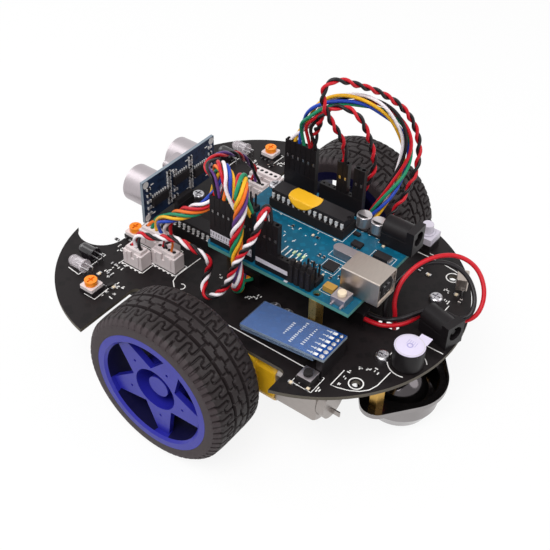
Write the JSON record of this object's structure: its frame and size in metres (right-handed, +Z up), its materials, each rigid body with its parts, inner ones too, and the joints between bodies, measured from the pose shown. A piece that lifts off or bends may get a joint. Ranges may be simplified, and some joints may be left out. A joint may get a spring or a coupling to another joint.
{
  "type": "line follower robot",
  "caption": "Two-wheeled line follower robot on a round circuit-board chassis with a ball caster, controller board, distance sensor, radio module, sockets and wiring.",
  "frame": {"origin": "on the ground under the middle of the chassis board's outline", "axes": "+X to the robot's left, -Y the driving direction, +Z up"},
  "size_m": [0.1556, 0.1636, 0.127],
  "materials": {
    "pcb_black": "satin",
    "pcb_teal": "satin",
    "pcb_blue": "satin",
    "black_plastic": "satin",
    "white_plastic": "satin",
    "blue_rim": "gloss",
    "tyre_rubber": "matt",
    "yellow_plastic": "satin",
    "shaft_plastic": "satin",
    "motor_steel": "satin",
    "bracket_metal": "satin",
    "brass": "bright",
    "screw_steel": "bright",
    "chrome": "mirror",
    "ball_steel": "polished",
    "shell_metal": "satin",
    "can_aluminium": "satin",
    "cream_plastic": "satin",
    "orange_plastic": "satin",
    "clear_lens": "clear",
    "dark_lens": "gloss",
    "clear_sleeve": "clear",
    "cell_wrap": "satin",
    "black_button": "satin",
    "red_wire": "satin",
    "mixed_wire": "satin"
  },
  "bodies": {
    "chassis": {"chassis_board": "pcb_black", "controller_pillars": "brass", "underside_pillars": "brass", "screws_and_nuts": "screw_steel", "controller_board": "pcb_teal", "digital_headers": "black_plastic", "analog_headers": "black_plastic", "digital_plugs": "black_plastic", "analog_plugs": "black_plastic", "usb_socket": "shell_metal", "controller_jack": "black_plastic", "chip_socket": "black_plastic", "microcontroller": "black_plastic", "controller_parts": "can_aluminium", "reset_switch": "shell_metal", "user_switch": "black_plastic", "power_switch": "black_plastic", "trimmer_bases": "white_plastic", "obstacle_emitters": "clear_lens", "obstacle_receivers": "dark_lens", "remote_receiver": "shell_metal", "buzzer": "black_plastic", "charging_jack": "black_plastic", "radio_module": "pcb_blue", "radio_sleeve": "clear_sleeve", "deck_sockets": "black_plastic", "sonar_board": "pcb_blue", "sonar_transducers": "can_aluminium", "wire_sockets_left": "white_plastic", "wire_sockets_right": "white_plastic", "caster_housing": "chrome", "caster_socket": "black_plastic", "battery_holder": "black_plastic", "battery_cells": "cell_wrap", "sensor_bar": "pcb_black", "gearbox_left": "yellow_plastic", "gearbox_right": "yellow_plastic", "motor_left": "motor_steel", "motor_right": "motor_steel", "motor_brackets": "bracket_metal", "battery_leads": "red_wire", "motor_leads": "red_wire", "header_harness": "mixed_wire", "line_harness": "mixed_wire", "front_harness": "mixed_wire", "right_lead": "mixed_wire", "sensor_leads": "mixed_wire"},
    "wheel_left": {"tyre_left": "tyre_rubber", "rim_left": "blue_rim", "drive_shaft_left": "shaft_plastic"},
    "wheel_right": {"tyre_right": "tyre_rubber", "rim_right": "blue_rim", "drive_shaft_right": "shaft_plastic"},
    "caster_ball": {"caster_ball": "ball_steel"},
    "reset_button": {"reset_button": "cream_plastic"},
    "user_button": {"user_button": "black_button"},
    "power_plunger": {"power_plunger": "white_plastic"},
    "trimmer_left": {"trimmer_rotor_left": "orange_plastic"},
    "trimmer_front": {"trimmer_rotor_front": "orange_plastic"},
    "trimmer_right": {"trimmer_rotor_right": "orange_plastic"}
  },
  "joints": [
    {"name": "wheel_left_spin", "type": "hinge", "parent": "chassis", "child": "wheel_left", "pos_m": [0.064, -0.0019, 0.033], "axis": [1, 0, 0], "continuous": true},
    {"name": "wheel_right_spin", "type": "hinge", "parent": "chassis", "child": "wheel_right", "pos_m": [-0.064, -0.0019, 0.033], "axis": [1, 0, 0], "continuous": true},
    {"name": "caster_roll", "type": "hinge", "parent": "chassis", "child": "caster_ball", "pos_m": [0, 0.062, 0.01], "axis": [1, 0, 0], "continuous": true},
    {"name": "reset_press", "type": "slide", "parent": "chassis", "child": "reset_button", "axis": [0, 0, -1], "range_m": [0, 0.00025], "stiffness_N_per_m": 4000},
    {"name": "user_press", "type": "slide", "parent": "chassis", "child": "user_button", "axis": [0, 0, -1], "range_m": [0, 0.00025], "stiffness_N_per_m": 4000},
    {"name": "power_press", "type": "slide", "parent": "chassis", "child": "power_plunger", "axis": [0, 0, -1], "range_m": [0, 0.0015], "stiffness_N_per_m": 1200},
    {"name": "trimmer_left_turn", "type": "hinge", "parent": "chassis", "child": "trimmer_left", "pos_m": [0.059, -0.0485, 0.05], "axis": [0, 0, 1], "range_deg": [-105, 105]},
    {"name": "trimmer_front_turn", "type": "hinge", "parent": "chassis", "child": "trimmer_front", "pos_m": [0.0236, -0.0576, 0.05], "axis": [0, 0, 1], "range_deg": [-105, 105]},
    {"name": "trimmer_right_turn", "type": "hinge", "parent": "chassis", "child": "trimmer_right", "pos_m": [-0.059, -0.0485, 0.05], "axis": [0, 0, 1], "range_deg": [-105, 105]}
  ]
}
